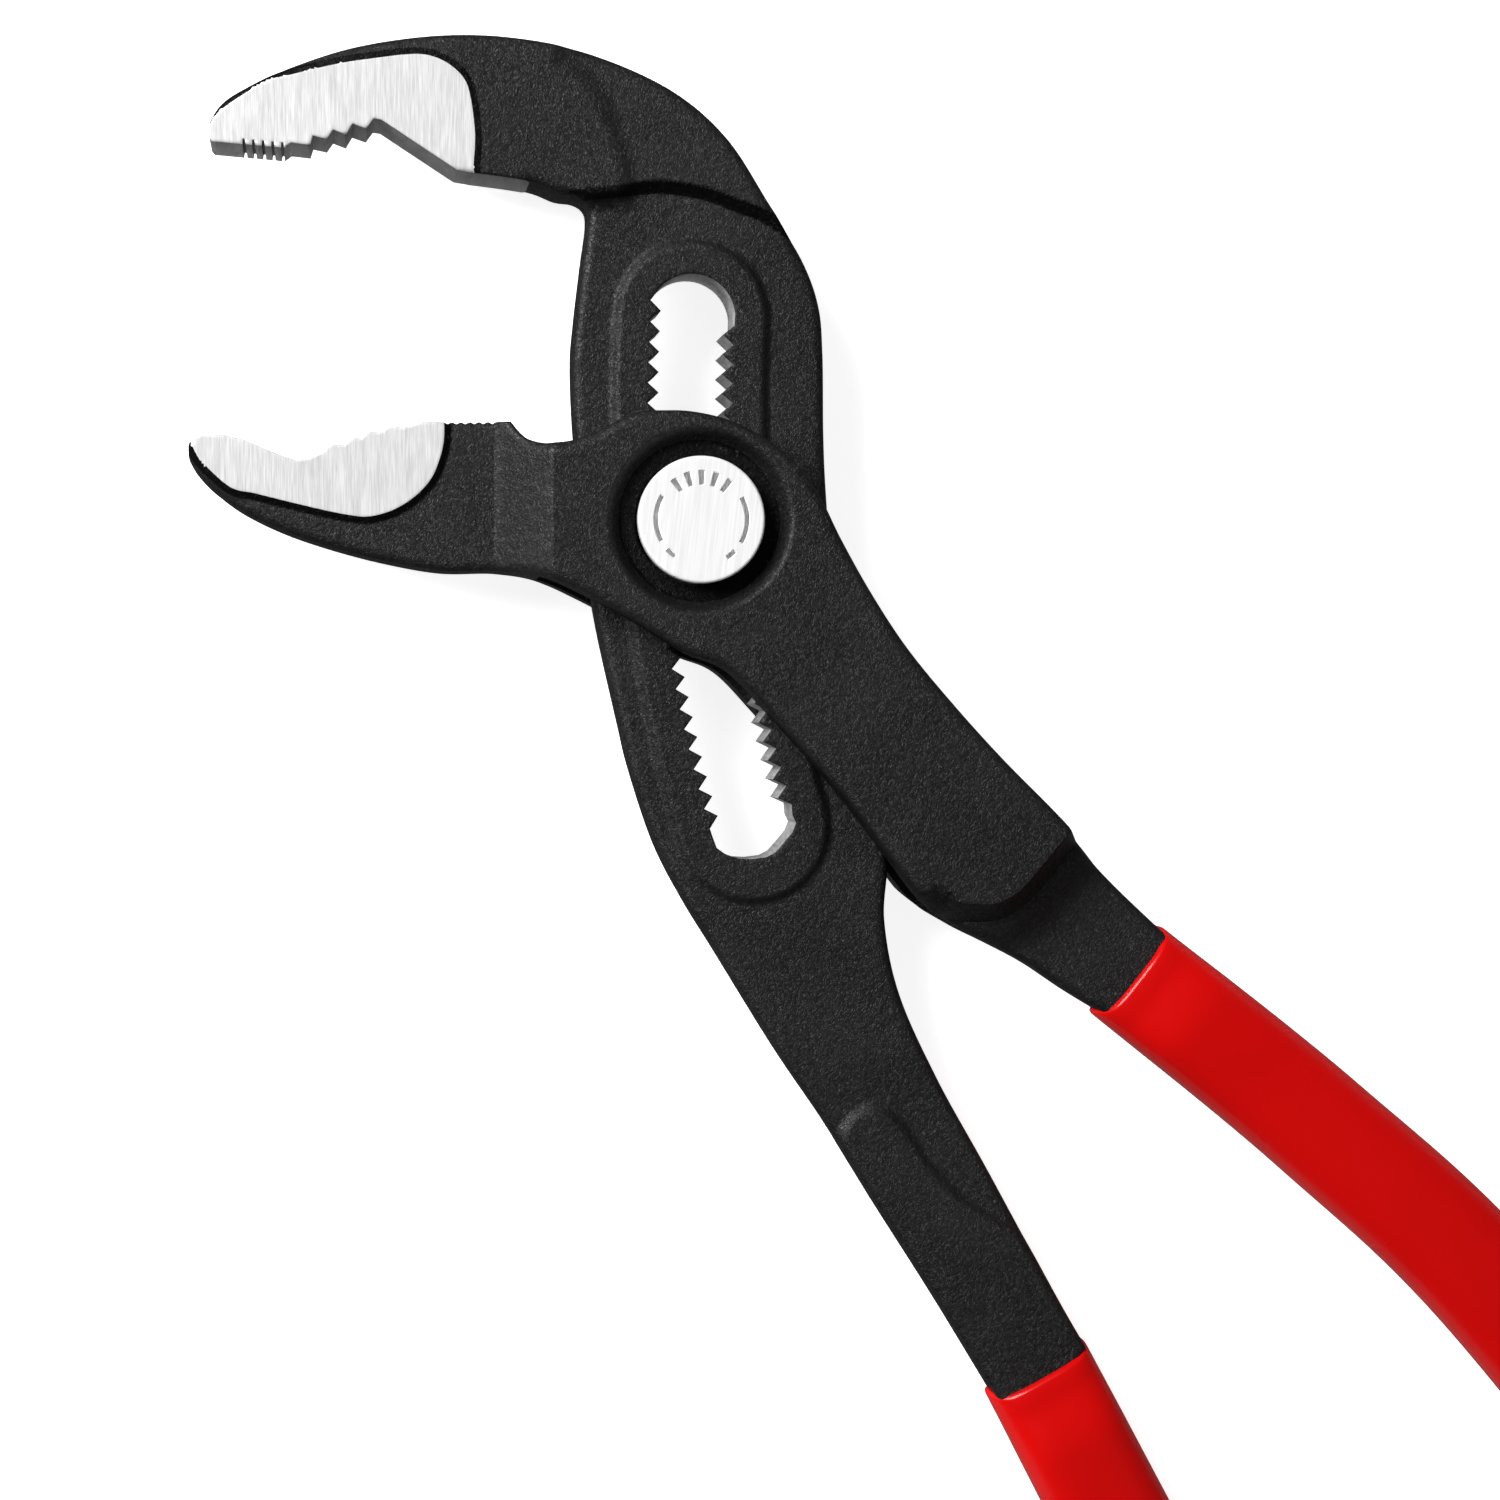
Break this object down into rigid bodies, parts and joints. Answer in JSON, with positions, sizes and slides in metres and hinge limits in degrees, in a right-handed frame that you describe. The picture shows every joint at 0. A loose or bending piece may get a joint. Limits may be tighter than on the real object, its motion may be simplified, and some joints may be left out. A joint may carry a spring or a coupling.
{
  "type": "tongue and groove pliers",
  "caption": "Adjustable tongue and groove pliers with a toothed slot, a push-button box joint, ground serrated jaws and dipped grips on curved handles.",
  "frame": {"origin": "on the pivot axis, in the plane of the box joint's back face, on which the pliers lie", "axes": "+X to the right with the jaws at the top left, +Y towards the jaws, +Z along the pivot axis towards the button"},
  "size_m": [0.215, 0.2776, 0.02],
  "materials": {
    "forging": "black satin coat over forged steel, with ground bare steel on the jaw faces and in the slot",
    "grip": "glossy dipped vinyl",
    "bright_steel": "brushed",
    "spring_steel": "satin"
  },
  "bodies": {
    "slotted_arm": {"slotted_arm": "forging", "slotted_arm_grip": "grip"},
    "carrier": {"front_bush": "bright_steel", "button_spring": "spring_steel"},
    "pivot_arm": {"pivot_arm": "forging", "pivot_arm_grip": "grip"},
    "button_bolt": {"hinge_bolt": "bright_steel", "push_button": "bright_steel", "retaining_ring": "spring_steel"}
  },
  "joints": [
    {"name": "slot_travel", "type": "hinge", "parent": "slotted_arm", "child": "carrier", "pos_m": [0.1629, 0.01397, 0.0095], "axis": [0, 0, 1], "range_deg": [-6.97, 11.62]},
    {"name": "jaw_pivot", "type": "hinge", "parent": "carrier", "child": "pivot_arm", "pos_m": [0, 0, 0.0095], "axis": [0, 0, 1], "range_deg": [-4, 32]},
    {"name": "button_press", "type": "slide", "parent": "carrier", "child": "button_bolt", "axis": [0, 0, -1], "range_m": [0, 0.003], "stiffness_N_per_m": 800, "springref_m": -0.004, "deforming": ["button_spring"]}
  ]
}
